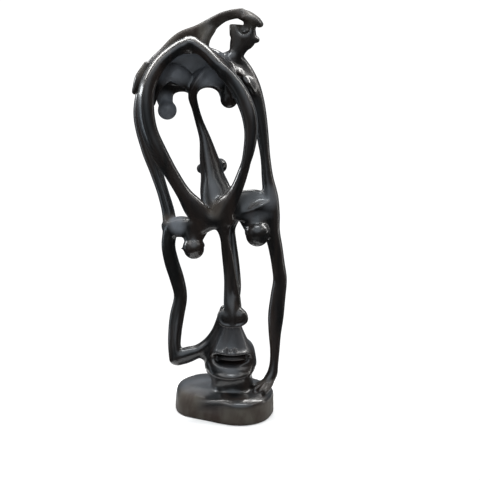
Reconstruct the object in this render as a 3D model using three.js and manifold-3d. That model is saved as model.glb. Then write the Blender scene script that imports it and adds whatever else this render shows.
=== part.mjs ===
// Openwork spirit figure carved from one block of blackwood, standing on its own base.
//
// A big lower head grows out of the base: open mouth, long nose, a brow with two hanging eyes.
// The nose runs on upwards into a tall loop, which frames a second, smaller face under a hood.
// Two long arms carry the sides. One passes over the back and reaches for the bud on the far
// shoulder, the other comes down and rests its hand on the base.
//
// Millimetres, +Z up, the front towards -Y, the origin in the middle of the flat underside.

import * as THREE from 'three';
import { mergeVertices } from 'three/addons/utils/BufferGeometryUtils.js';
import Module from 'manifold-3d';

const wasm = await Module();
wasm.setup();

// Fineness of the faceted surface
const LIMB_SIDES = 9;
const LIMB_STEP = 17;
const HEAD_SIDES = 18;
const BALL_SIDES = 10;
const HOOD_SIDES = 20;
const SMALL_SIDES = 6;
const SMALL_STEP = 9;
const HEAD_STEP = 8;
const EGG_SIDES = 14;
const OUTLINE_STEPS = 31;
const EGG_ROWS_PER_SIDE = 0.6;
const ROUND_TURNS = [0, 30, 60, 90];
// Round ends of a limb: how far out their last ring lies, and its size, as shares of the limb's
const END_REACH = 0.6;
const END_SIZE = 0.8;
// Points nearer than this are one point
const SAME_POINT = 1e-4;

// Polished wood, near black
const WOOD = { color: 0x1c1716, roughness: 0.32, metalness: 0 };

// Base: plan outline at the underside, seen from above, starting at the right
const BASE_HEIGHT = 26;
const BASE_TOP_ROUND = 8.5;
const BASE_FOOT_ROUND = 1;
const BASE_CROWN = 1;
// Dip of the top towards the front: how deep, its middle and its half sizes in plan
// Its side leans in at the top, most in one direction (degrees from +X), over a spread about it
const BASE_LEAN = { depth: 17, towards: 213, spread: 36, power: 4 };
const BASE_DIP = { depth: 3, middle: [10, -44], reach: [32, 17] };
const BASE_OUTLINE = [
  [49, 4], [47, -14], [39, -32], [26, -42], [11, -43.5], [-2, -39], [-16, -31],
  [-42, -14.5], [-49.5, 4], [-46, 30], [-30, 46], [-8, 48], [18, 40], [40, 25],
];

// Limbs. A knot is [x, y, z, half width seen from the front, half depth].
const BACK_ARM = [
  [17, 6, 396, 4.4, 4.9], [7, 10, 394.4, 4.5, 5.2], [-1, 14, 391.8, 4.8, 5.8],
  [-10.5, 18, 386, 6, 6.8], [-24.5, 20, 375.2, 9.2, 9.2], [-40, 20, 368.6, 9.6, 9.5],
  [-55, 18, 355.6, 8.8, 8.7], [-69.6, 16, 342.2, 7.4, 7.8], [-78, 13, 322, 6.6, 6.8],
  [-81, 11, 298, 7, 7], [-74, 8, 266, 6.8, 6.6], [-66, 5, 243, 6, 6.3], [-59, 0, 222, 5.5, 6.3],
  [-54, -4, 203, 6.2, 6.8], [-53, -7, 188, 6.8, 7.8], [-54.5, -7, 172, 6.6, 6.9],
  [-51.5, -5, 155, 7, 6.9], [-47, -3, 139, 7, 6.9], [-43.5, -1, 120, 6.4, 6.5],
  [-47, -3, 101, 7, 6.5], [-49, -7, 86, 6.6, 6.5], [-49.5, -11, 71, 6.2, 6.5],
  [-47.5, -13, 59, 7.2, 6.5],
];
const CHEEK_FOREARM = [
  [-46.5, -13, 59.5, 7.5, 6.5], [-37, -12, 62.5, 8, 6], [-26, -10, 66, 6.5, 5.5],
  [-16, -8, 73.5, 5.5, 5.5], [-8.5, -8, 85, 4.5, 5], [-3.5, -10, 99.5, 3.8, 4.5],
  [-0.5, -13, 110, 3.4, 4],
];
const CHEEK = [
  [-29, -10, 64.5, 4, 4], [-20, -7, 62, 5.5, 6], [-13, -4, 56, 6, 7],
];
const ARMPIT = [
  [-12, 16, 381, 4.5, 5], [-17.5, 14, 373, 5, 6], [-21, 12, 364, 6, 7],
];
const RESTING_ARM = [
  [0, 6, 353, 5, 6], [9, 9, 355, 6, 6.5], [18.5, 13, 343, 7.6, 7.7], [26, 14, 328, 8.3, 8.2],
  [31, 13, 312, 8, 7.8], [35, 11, 295, 6.8, 6.8], [38, 9, 276, 5.6, 6.3],
  [40.5, 7, 257, 4.7, 5.9], [42.5, 5, 238, 5.6, 6.4], [45.5, 3, 219.5, 7.4, 7.8],
  [46.5, 2, 202, 8.1, 8.8], [47, 2, 186, 7.7, 7.9], [50.5, 3, 169.5, 6.9, 6.9],
  [53.5, 5, 151, 6.5, 6.5], [55.5, 7, 135, 6.8, 6.5], [53.5, 6, 117, 7.4, 6.5],
  [51.5, 4, 98, 7.7, 6.5], [50.5, 1, 80, 6, 5.5], [50.5, -2, 64, 4.6, 4.5],
  [49.5, -4, 50, 4.3, 4.5], [47.5, -6, 40, 5.2, 5.2], [43, -9, 33, 5.5, 5.5],
];
const LOOP_AND_NOSE = [
  [-17.5, -24, 201.5, 8.5, 6.7], [-27, -24, 211.5, 10.4, 7.7], [-38, -25, 227, 7, 7.6],
  [-48.5, -26, 244.5, 6.5, 7.1], [-61.5, -27, 267.5, 7.8, 7.6], [-70, -26, 287.5, 7.8, 7.5],
  [-73.5, -24, 310, 8, 7.5], [-71, -21, 330, 7.5, 7.5], [-60, -18, 349.5, 6.9, 7],
  [-46, -16, 361.8, 6.2, 6.6], [-37, -15.2, 366.8, 6.1, 6.6], [-31, -15, 369.4, 6, 6.6],
  [-25, -15.3, 366, 6, 6.6], [-16, -16, 359.4, 6, 6.6], [-4.4, -18, 347, 6, 6.6],
  [7.4, -19, 334.6, 6.6, 6.7], [15, -21, 324, 7.2, 6.8],
  [20.5, -23, 313, 7.3, 6.8], [24.5, -25, 301, 7.1, 6.7], [26, -26, 286, 6.2, 6.5],
  [24, -27, 268.5, 5.2, 6.2], [19, -27, 249.5, 4.9, 6.2], [12.5, -26, 232, 5.2, 6.7],
  [6, -25, 217.5, 6.5, 7.6], [2.2, -24, 203.5, 6.8, 7.2], [-0.3, -23, 195, 6.9, 6.4],
  [0.4, -22, 188, 5, 5.4], [1.2, -21, 181, 4.2, 5], [1.5, -20, 174.5, 4, 4.9],
  [4, -19, 157, 4.9, 5.3], [6.5, -20, 140.5, 6.2, 5.8], [7.5, -22, 123, 7.6, 6.8],
  [8, -24, 115, 8, 7],
];
const LOOP_SHELF = [
  [-21, -19, 204, 6, 7], [-14, -19.5, 208.5, 8, 9], [-6, -20, 214, 8.5, 9.5],
  [2, -21, 220, 7, 8], [8, -22, 227, 4.5, 6],
];
const LOOP_EDGE = [
  [-14, -25, 202, 2.4, 3], [-7, -27, 206.5, 3.4, 4], [-1, -28, 212, 4.2, 4.6],
  [5, -28.6, 220, 4.2, 4.6], [10.4, -28.4, 229, 3.6, 4], [14, -27.6, 239, 2.4, 3],
];
const NOSE_EDGE = [
  [4, -22.5, 198, 1.4, 2], [2.4, -23.4, 189.5, 1.8, 2.4], [3.6, -22.6, 178, 1.8, 2.4],
  [6, -22, 168, 1.8, 2.4], [8.8, -22.4, 155, 1.9, 2.4], [11.6, -23.4, 140, 2, 2.6],
  [13.6, -24.8, 129, 2, 2.6], [15, -25.6, 117, 1.6, 2],
];
const NOSE_BACK = [
  [12, 4, 199.5, 3.9, 4.9], [8, 8, 186.5, 2.8, 4], [8.5, 6, 175, 3.2, 4],
  [9.5, 2, 161.5, 4.2, 4], [11, -4, 146.5, 4.5, 4], [12, -11, 131.5, 4.4, 4.2],
  [10, -18, 116, 4.3, 4.5],
];
const LEFT_BROW = [
  [-56, -5, 191, 6, 5], [-50, -9.5, 191.3, 9, 7], [-42, -13.5, 192.8, 10, 7.8],
  [-33, -17, 193, 9.6, 8], [-22, -20, 196, 9.2, 8], [-11, -22, 200, 8, 8], [2.5, -22, 203, 9, 8],
];
const RIGHT_BROW = [
  [3, -10, 213, 9, 6], [11, -6, 213, 13, 7.2], [22, -1.5, 211.8, 15, 8],
  [33.5, 1, 211.3, 15, 8.6], [44.5, 2, 211.5, 10.8, 7.8],
];
const UPPER_NOSE = [
  [-12, 4, 348, 3, 4.5], [-20, -1, 338, 3.4, 5], [-27.5, -2, 327.5, 3.8, 5],
  [-30, 2, 317.5, 4.2, 4.8], [-27.6, 7, 305.5, 3.5, 4.6], [-24.2, 9, 293, 3.8, 4.9],
  [-18.5, 7, 276, 5.5, 5.8],
  [-15, 4, 259, 8.8, 7.8], [-11.5, 0, 242, 11.2, 9.7], [-8.5, -6, 228, 14.8, 10.7],
  [-6, -13, 216, 15.5, 9],
];
const UPPER_BROWS = [
  [[-69, 2, 311, 3, 3], [-65.5, 2, 323, 4, 3.6], [-58.5, 1, 335, 6.4, 5.4],
    [-50.5, 1, 340.6, 8.2, 6], [-42.5, 1.5, 337.8, 8.4, 6], [-36, 2.5, 332.6, 7.6, 5.6],
    [-30, 4, 326, 5.2, 5]],
  [[-32, 4, 325, 5, 5], [-24, 3, 333, 7.6, 6], [-14.5, 3, 336.2, 8.6, 6.4],
    [-6, 5, 333.5, 7.4, 6], [-0.5, 9, 326, 4.6, 4.6]],
];
const SHOULDER = [
  [-5, 4, 354, 2.4, 3], [1, 3.6, 349.5, 4, 5], [9, 3.6, 342.5, 5, 6], [18, 5, 334, 5, 6],
  [24.5, 8, 325, 4, 5], [28.5, 10, 314, 2.4, 3],
];
const REACHING_HAND = [
  [16, 6, 395, 4.8, 5], [23, 6, 392.5, 5.4, 6.5], [28.5, 5.5, 390, 4.6, 7],
];
const PALM = [
  [25, 6, 390, 6, 5], [25, 6, 384, 5.6, 4.5], [24.5, 6, 376, 5, 4],
];
const EAR = [
  [-74, 4, 347.5, 3, 3], [-79.5, 4, 334, 6, 4.8], [-85.5, 4, 322, 3, 3],
];

// Fingers: those that reach for the bud, its thumb last, then those that rest on the base
const FINGERS = [
  [[22, 0.5, 392, 3.6, 3], [30, -0.5, 388.6, 3.4, 2.8], [34, 0, 384.8, 2.6, 2.2]],
  [[22, 4.5, 393.2, 3.8, 3], [31, 4, 389.4, 3.6, 2.8], [35.4, 4.5, 385, 2.8, 2.2]],
  [[22, 9, 393, 3.6, 3], [30.5, 9, 389.2, 3.4, 2.8], [34.6, 9, 385, 2.6, 2.2]],
  [[19, 0.5, 391, 2.8, 2.6], [20.5, -0.6, 386.5, 2.4, 2.3], [22.5, -0.5, 381.5, 2, 1.8]],
  [[47.5, -8, 36, 3, 3], [45, -15, 31.5, 2.6, 2.4], [41, -22.5, 27.6, 2, 1.9]],
  [[44, -8.5, 35, 3, 3], [40, -15, 31, 2.6, 2.4], [35.5, -22, 27.8, 2, 1.9]],
  [[42, -7.5, 35, 3, 3], [36, -12.5, 31.2, 2.5, 2.4], [30.5, -17.5, 28, 2, 1.9]],
  [[42, -5, 34, 3, 3], [35, -6.5, 30.5, 2.4, 2.3], [28.5, -8, 28.6, 2, 1.9]],
];

// Hanging eyes: a stalk of two or three knots, and the ball that it ends in
const HANGING_EYES = [
  [[-28, -17, 194, 14.5, 8], [-29.5, -19, 182, 9.2, 7.8], [-29, -21, 172.5, 9.8, 8.9]],
  [[28, -2, 201, 14, 8.8], [31, -5, 191, 11.4, 8.8], [32.5, -8, 183.5, 11.2, 10]],
  [[-60, 22, 334, 12, 6], [-59, 20, 322, 9.4, 6], [-57.4, 15, 312, 7.6, 6],
    [-55.1, 11, 303.3, 9, 8.6]],
  [[2.5, 16, 333, 9.5, 7], [4.6, 13, 322, 8.6, 8], [5, 12, 314.5, 8.3, 8],
    [5, 11, 313.8, 8.3, 8]],
];

// Egg-shaped forms: [x, y, z, half width, half depth, half height]
const NOSTRILS = [[-22, 8, 246.5, 4.6, 5, 4.6], [-4.5, 10, 249, 7.2, 6, 7.2]];
const FOREHEAD = [-28, 12, 345, 36, 7, 20];
const NOSE_WINGS = [
  [2.8, -26.5, 104.8, 8, 6.2, 9], [15, -26.5, 106, 7.8, 6.2, 8], [8, -27, 103.4, 8.6, 5.6, 5.6],
];

// Head, from the top of the upper lip's cone to the foot of the neck
const HEAD = [
  [7.5, -20, 118, 4, 5], [8, -18, 106, 6, 6], [8, -14.5, 97, 8, 7], [8, -13.5, 90.5, 9.8, 8],
  [8, -12, 82, 13.4, 11.6], [7.6, -10, 74, 18, 17], [7.5, -8.5, 68.5, 21.6, 22],
  [7.2, -5, 62.5, 23.8, 20], [6.5, -3, 56, 25.6, 22], [6, -3, 50, 25.6, 24.4],
  [6.2, -3, 46.5, 24.6, 25.6], [6.6, -3, 43, 22.8, 22], [7.4, -3, 37, 20.6, 20],
  [8, -3, 29, 20.2, 20],
];
const NECK_FOOT = [[8, -3, 39, 19.6, 20], [8, -3, 31, 20.6, 23], [8, -3, 24, 22.5, 27.5]];
// Open mouth: centre and half sizes of the hollow behind the lips
const MOUTH_CENTRE = [6.8, -24, 61.8];
const MOUTH_HALF = [20.5, 16, 6];

// Bud on the shoulder: a stem that flares into a cup with a slanted top, and its side petal
const BUD = [
  [11.6, 8, 352, 5.4, 4.8], [13.2, 8, 360, 7.6, 6.2], [15.2, 8, 366, 9.8, 7],
  [18.2, 8, 371.5, 12.4, 7.8], [18.2, 8, 378, 12.6, 7.8], [18, 8, 390, 12.5, 7.6],
];
const PETAL = [[19, 7, 372.5, 8, 6.4], [26, 7, 372, 6, 5.6], [31.5, 7, 370.8, 2.8, 3.6]];
const BUD_RIMS = [
  { point: [5.4, 8, 385.4], normal: [0.03, 0.1, 1] },
  { point: [5.4, 3, 385], normal: [0.29, -0.49, 0.82] },
];

// Hood: a half shell over the upper face, open to the front and below
const HOOD_CENTRE = [-30.5, -8, 317];
const HOOD_HALF = [46.5, 34, 50];
const HOOD_WALL = 6;
const HOOD_FRONT = -17;
const HOOD_ARCH_DEPTH = 45;
const HOOD_ARCHES = [
  { x: -41.5, half: 9, top: 321 }, { x: -15, half: 12.5, top: 325.5 },
];

/** A closed geometry as a solid that can be joined and cut. */
function solid(geometry) {
  geometry.deleteAttribute('normal');
  geometry.deleteAttribute('uv');
  const merged = mergeVertices(geometry, SAME_POINT);
  const vertProperties = new Float32Array(merged.attributes.position.array);
  const triVerts = new Uint32Array(merged.index.array);
  return new wasm.Manifold(new wasm.Mesh({ numProp: 3, vertProperties, triVerts }));
}

/** A solid skin over rings of equal point counts, closed to a point at both ends. */
function skin(rings, firstTip, lastTip) {
  const sides = rings[0].length;
  const points = [firstTip, ...rings.flat(), lastTip];
  const last = points.length - 1;
  const at = (ring, side) => 1 + ring * sides + (side % sides);
  const faces = [];
  for (let side = 0; side < sides; side++) {
    faces.push(0, at(0, side + 1), at(0, side));
    faces.push(last, at(rings.length - 1, side), at(rings.length - 1, side + 1));
    for (let ring = 0; ring + 1 < rings.length; ring++) {
      faces.push(at(ring, side), at(ring, side + 1), at(ring + 1, side));
      faces.push(at(ring, side + 1), at(ring + 1, side + 1), at(ring + 1, side));
    }
  }
  const geometry = new THREE.BufferGeometry().setFromPoints(points);
  geometry.setIndex(faces);
  return solid(geometry);
}

/** A carved limb with an oval section, drawn smoothly through its knots, with round ends. */
function limb(knots, sides = LIMB_SIDES, step = LIMB_STEP) {
  const path = new THREE.CatmullRomCurve3(
    knots.map(([x, y, z]) => new THREE.Vector3(x, y, z)), false, 'centripetal');
  const halves = new THREE.CatmullRomCurve3(
    knots.map(([, , , width, depth]) => new THREE.Vector3(width, depth, 0)));
  const front = new THREE.Vector3(0, 1, 0);
  const ring = (t, reach = 0, shrink = 1) => {
    const along = path.getTangent(t);
    const across = new THREE.Vector3().crossVectors(along, front).normalize();
    const inward = new THREE.Vector3().crossVectors(along, across);
    const half = halves.getPoint(t);
    const middle = path.getPoint(t).addScaledVector(along, reach * Math.min(half.x, half.y));
    return Array.from({ length: sides }, (_, side) => {
      const angle = (2 * Math.PI * side) / sides;
      return middle.clone()
        .addScaledVector(across, half.x * shrink * Math.cos(angle))
        .addScaledVector(inward, half.y * shrink * Math.sin(angle));
    });
  };
  const tip = (t, reach) => ring(t, reach, 0)[0];
  const count = Math.max(2, Math.ceil(path.getLength() / step));
  const rings = [ring(0, -END_REACH, END_SIZE)];
  for (let i = 0; i <= count; i++) rings.push(ring(path.getUtoTmapping(i / count)));
  rings.push(ring(1, END_REACH, END_SIZE));
  return skin(rings, tip(0, -1), tip(1, 1));
}

/** An egg-shaped ball. */
function ball([x, y, z], [halfX, halfY, halfZ], sides = BALL_SIDES) {
  const geometry = new THREE.SphereGeometry(1, sides, Math.round(sides * EGG_ROWS_PER_SIDE));
  geometry.scale(halfX, halfY, halfZ).translate(x, y, z);
  return solid(geometry);
}

/** A big cube that lies past a plane, on the side that the normal points to. */
function beyond([x, y, z], [normalX, normalY, normalZ], reach = 100) {
  const normal = new THREE.Vector3(normalX, normalY, normalZ).normalize();
  const turn = new THREE.Quaternion().setFromUnitVectors(new THREE.Vector3(0, 0, 1), normal);
  const geometry = new THREE.BoxGeometry(2 * reach, 2 * reach, 2 * reach);
  geometry.translate(0, 0, reach).applyQuaternion(turn).translate(x, y, z);
  return solid(geometry);
}

/** The low base: flat below, its top edge well rounded. */
function base() {
  const outline = new THREE.CatmullRomCurve3(
    BASE_OUTLINE.map(([x, y]) => new THREE.Vector3(x, y, 0)), true).getSpacedPoints(OUTLINE_STEPS);
  outline.pop();
  if (THREE.ShapeUtils.isClockWise(outline)) outline.reverse();
  const level = (z, inset) => outline.map((p) => {
    const shrink = 1 - (inset + lean(p, z)) / p.length();
    const [x, y] = [p.x * shrink, p.y * shrink];
    return new THREE.Vector3(x, y, z - dip(x, y) * (z / BASE_HEIGHT));
  });
  const rings = [level(0, BASE_FOOT_ROUND), level(BASE_FOOT_ROUND, 0)];
  for (const turn of ROUND_TURNS) {
    const angle = THREE.MathUtils.degToRad(turn);
    rings.push(level(BASE_HEIGHT - BASE_TOP_ROUND * (1 - Math.sin(angle)),
      BASE_TOP_ROUND * (1 - Math.cos(angle))));
  }
  return skin(rings, new THREE.Vector3(0, 0, 0), new THREE.Vector3(0, 0, BASE_HEIGHT + BASE_CROWN));
}

/** How far the base's side leans in at a height, above a point of its outline. */
function lean(p, z) {
  const { depth, towards, spread, power } = BASE_LEAN;
  const away = THREE.MathUtils.euclideanModulo(
    THREE.MathUtils.radToDeg(Math.atan2(p.y, p.x)) - towards + 180, 360) - 180;
  return depth * Math.exp(-((away / spread) ** 2)) * (z / BASE_HEIGHT) ** power;
}

/** How far the base's top falls away at a place. */
function dip(x, y) {
  const { depth, middle, reach } = BASE_DIP;
  return depth * Math.exp(-(((x - middle[0]) / reach[0]) ** 2) - ((y - middle[1]) / reach[1]) ** 2);
}

/** The lower head: a cone of an upper lip, a round jaw and a neck, with an open mouth. */
function head() {
  const mouth = ball(MOUTH_CENTRE, MOUTH_HALF, EGG_SIDES);
  return limb(HEAD, HEAD_SIDES, HEAD_STEP).subtract(mouth)
    .add(limb(NECK_FOOT, HEAD_SIDES, HEAD_STEP));
}

/** A drooping eye: a stalk that ends in a ball. */
function hangingEye(knots) {
  const [x, y, z, width, depth] = knots.at(-1);
  return limb(knots.slice(0, -1)).add(ball([x, y, z], [width, depth, width]));
}

/** The bud, cut off across its rim, with its side petal. */
function bud() {
  const cup = BUD_RIMS.reduce(
    (whole, { point, normal }) => whole.subtract(beyond(point, normal)),
    limb(BUD, LIMB_SIDES, SMALL_STEP));
  return cup.add(limb(PETAL, SMALL_SIDES, SMALL_STEP));
}

/** The hood over the upper face, with an arch for each hanging eye. */
function hood() {
  const [x, y, z] = HOOD_CENTRE;
  const inner = HOOD_HALF.map((half) => half - HOOD_WALL);
  let shell = ball(HOOD_CENTRE, HOOD_HALF, HOOD_SIDES).subtract(ball(HOOD_CENTRE, inner, HOOD_SIDES));
  shell = shell.subtract(beyond([x, HOOD_FRONT, z], [0, -1, 0]));
  shell = shell.subtract(beyond([x, y, z], [0, 0, -1]));
  for (const { x: middle, half, top } of HOOD_ARCHES) {
    const halves = [half, HOOD_ARCH_DEPTH, top - z];
    shell = shell.subtract(ball([middle, HOOD_ARCH_DEPTH, z], halves, EGG_SIDES));
  }
  return shell;
}

/** Everything joined into the one piece of wood that it is. */
function figure() {
  const limbs = [
    BACK_ARM, ARMPIT, CHEEK_FOREARM, CHEEK, RESTING_ARM, SHOULDER, LOOP_AND_NOSE, LOOP_SHELF,
    NOSE_BACK, LEFT_BROW, RIGHT_BROW, UPPER_NOSE, ...UPPER_BROWS, REACHING_HAND, PALM, EAR,
  ];
  const parts = [
    base(), head(), hood(), bud(),
    ...limbs.map((knots) => limb(knots)),
    ...[LOOP_EDGE, NOSE_EDGE].map((knots) => limb(knots, SMALL_SIDES)),
    ...FINGERS.map((knots) => limb(knots, SMALL_SIDES, SMALL_STEP)),
    ...HANGING_EYES.map(hangingEye),
    ...[...NOSTRILS, ...NOSE_WINGS].map(([x, y, z, ...half]) => ball([x, y, z], half)),
    ball(FOREHEAD.slice(0, 3), FOREHEAD.slice(3), EGG_SIDES),
  ];
  return parts.reduce((whole, part) => whole.add(part));
}

/** A joined solid as a mesh geometry. */
function geometryOf(joined) {
  const { vertProperties, triVerts } = joined.getMesh();
  const geometry = new THREE.BufferGeometry();
  geometry.setAttribute('position', new THREE.BufferAttribute(vertProperties, 3));
  geometry.setIndex(new THREE.BufferAttribute(triVerts, 1));
  geometry.computeVertexNormals();
  return geometry;
}

const blackwood = new THREE.MeshStandardMaterial(WOOD);

const carving = new THREE.Mesh(geometryOf(figure()), blackwood);
carving.name = 'shetani_carving';

const part = new THREE.Group();
part.add(carving);

export default part;
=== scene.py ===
"""Looks of an openwork spirit figure carved from one block of blackwood, standing on its own base.

The carving is made as a carver makes it. The big forms are joined into a blank, the corners
where they meet are rounded out, the details are cut and raised, and the wood is polished.
All sizes are millimetres until the finished mesh is scaled to metres. The front is towards -Y.
"""

import logging
import math
from dataclasses import dataclass, field
from enum import Enum

import bmesh
import bpy
import numpy as np
from bmesh.types import BMEdge, BMesh, BMVert
from bpy.types import ID, Material, Mesh, Node, NodeSocket, NodeTree, Object
from mathutils import Matrix, Vector, noise

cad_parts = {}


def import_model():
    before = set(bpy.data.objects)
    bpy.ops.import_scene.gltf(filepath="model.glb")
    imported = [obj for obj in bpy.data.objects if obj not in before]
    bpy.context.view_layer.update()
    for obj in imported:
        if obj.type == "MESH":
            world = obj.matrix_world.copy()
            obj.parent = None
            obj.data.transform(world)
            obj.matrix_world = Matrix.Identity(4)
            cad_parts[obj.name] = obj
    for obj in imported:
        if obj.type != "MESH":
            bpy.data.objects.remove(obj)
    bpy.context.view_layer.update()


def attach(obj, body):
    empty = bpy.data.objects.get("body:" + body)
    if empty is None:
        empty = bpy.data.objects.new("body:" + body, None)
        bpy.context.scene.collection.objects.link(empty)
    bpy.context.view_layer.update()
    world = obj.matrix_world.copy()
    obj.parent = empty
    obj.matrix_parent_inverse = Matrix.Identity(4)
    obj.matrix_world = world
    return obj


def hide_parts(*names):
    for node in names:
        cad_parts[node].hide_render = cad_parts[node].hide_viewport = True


LOG = logging.getLogger("carving")
METRES = 0.001

Point = tuple[float, float, float]
Knots = tuple[tuple[float, ...], ...]


# Helpers


class Solver(Enum):
    """How a cut is worked out."""

    EXACT = "EXACT"
    MANIFOLD = "MANIFOLD"


def placed(name: str, data: ID) -> Object:
    """Makes an object and puts it in the scene.

    Args:
        name: Its name.
        data: Its mesh, light or camera.

    Returns:
        The object.
    """
    thing = bpy.data.objects.new(name, data)
    bpy.context.scene.collection.objects.link(thing)
    return thing


def meshed(shape: BMesh) -> Mesh:
    """Makes a mesh of a shape, its faces pointing outwards.

    Args:
        shape: The closed shape.

    Returns:
        The mesh.
    """
    mesh = bpy.data.meshes.new("shape")
    bmesh.ops.recalc_face_normals(shape, faces=shape.faces)
    shape.to_mesh(mesh)
    return mesh


def absorb(target: BMesh, mesh: Mesh) -> None:
    """Adds a mesh to a shape and removes the mesh."""
    target.from_mesh(mesh)
    bpy.data.meshes.remove(mesh)


def join(target: BMesh, piece: BMesh) -> None:
    """Adds a shape to another and frees it."""
    absorb(target, meshed(piece))
    piece.free()


def baked(mesh: Mesh, kind: str, **settings: object) -> Mesh:
    """Runs one modifier on a mesh and keeps its result.

    Args:
        mesh: The mesh to change; it is removed.
        kind: The modifier's type.
        settings: The modifier's values by name.

    Returns:
        The changed mesh.
    """
    thing = placed("at_work", mesh)
    modifier = thing.modifiers.new("step", kind)
    for name, value in settings.items():
        setattr(modifier, name, value)
    graph = bpy.context.evaluated_depsgraph_get()
    made = bpy.data.meshes.new_from_object(thing.evaluated_get(graph))
    bpy.data.objects.remove(thing)
    bpy.data.meshes.remove(mesh)
    return made


def cut(piece: BMesh, tool: BMesh, solver: Solver = Solver.EXACT) -> None:
    """Takes one closed shape away from another.

    Args:
        piece: The shape that is cut.
        tool: The shape that is taken away; it is freed.
        solver: How the cut is worked out; MANIFOLD is quick on a big mesh.
    """
    taken, whole = meshed(tool), meshed(piece)
    tool.free()
    cutter = placed("cutter", taken)
    made = baked(whole, "BOOLEAN", operation="DIFFERENCE", solver=solver.value, object=cutter)
    bpy.data.objects.remove(cutter)
    bpy.data.meshes.remove(taken)
    piece.clear()
    absorb(piece, made)


def egg(centre: Point, half: Point, turn: Matrix | None = None) -> BMesh:
    """An egg-shaped ball.

    Args:
        centre: Its middle.
        half: Its half sizes along X, Y and Z before it is turned.
        turn: A rotation about its middle.

    Returns:
        The closed ball.
    """
    ball = bmesh.new()
    bmesh.ops.create_icosphere(ball, subdivisions=4, radius=1.0)
    bmesh.ops.scale(ball, vec=half, verts=ball.verts)
    if turn is not None:
        bmesh.ops.transform(ball, matrix=turn, verts=ball.verts)
    bmesh.ops.translate(ball, vec=centre, verts=ball.verts)
    return ball


def eggs(rows: Knots) -> list[BMesh]:
    """Egg-shaped balls from rows of centre and half sizes."""
    return [egg(tuple(row[:3]), tuple(row[3:])) for row in rows]


def lengths(line: np.ndarray) -> np.ndarray:
    """The length of a line up to each of its points."""
    return np.concatenate([[0.0], np.cumsum(np.linalg.norm(np.diff(line, axis=0), axis=1))])


def read_off(line: np.ndarray, length: np.ndarray, marks: np.ndarray) -> np.ndarray:
    """The line's values at marks along its length."""
    return np.stack([np.interp(marks, length, column) for column in line.T], axis=1)


def edges_of(verts: list[BMVert]) -> list[BMEdge]:
    """The edges at a ring's vertices, each once and in a fixed order."""
    return list(dict.fromkeys(edge for vert in verts for edge in vert.link_edges))


# Limbs


class Section(Enum):
    """How the front of a limb is cut across."""

    OVAL = "oval"
    RIDGED = "ridged"
    BEVELLED = "bevelled"


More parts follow.
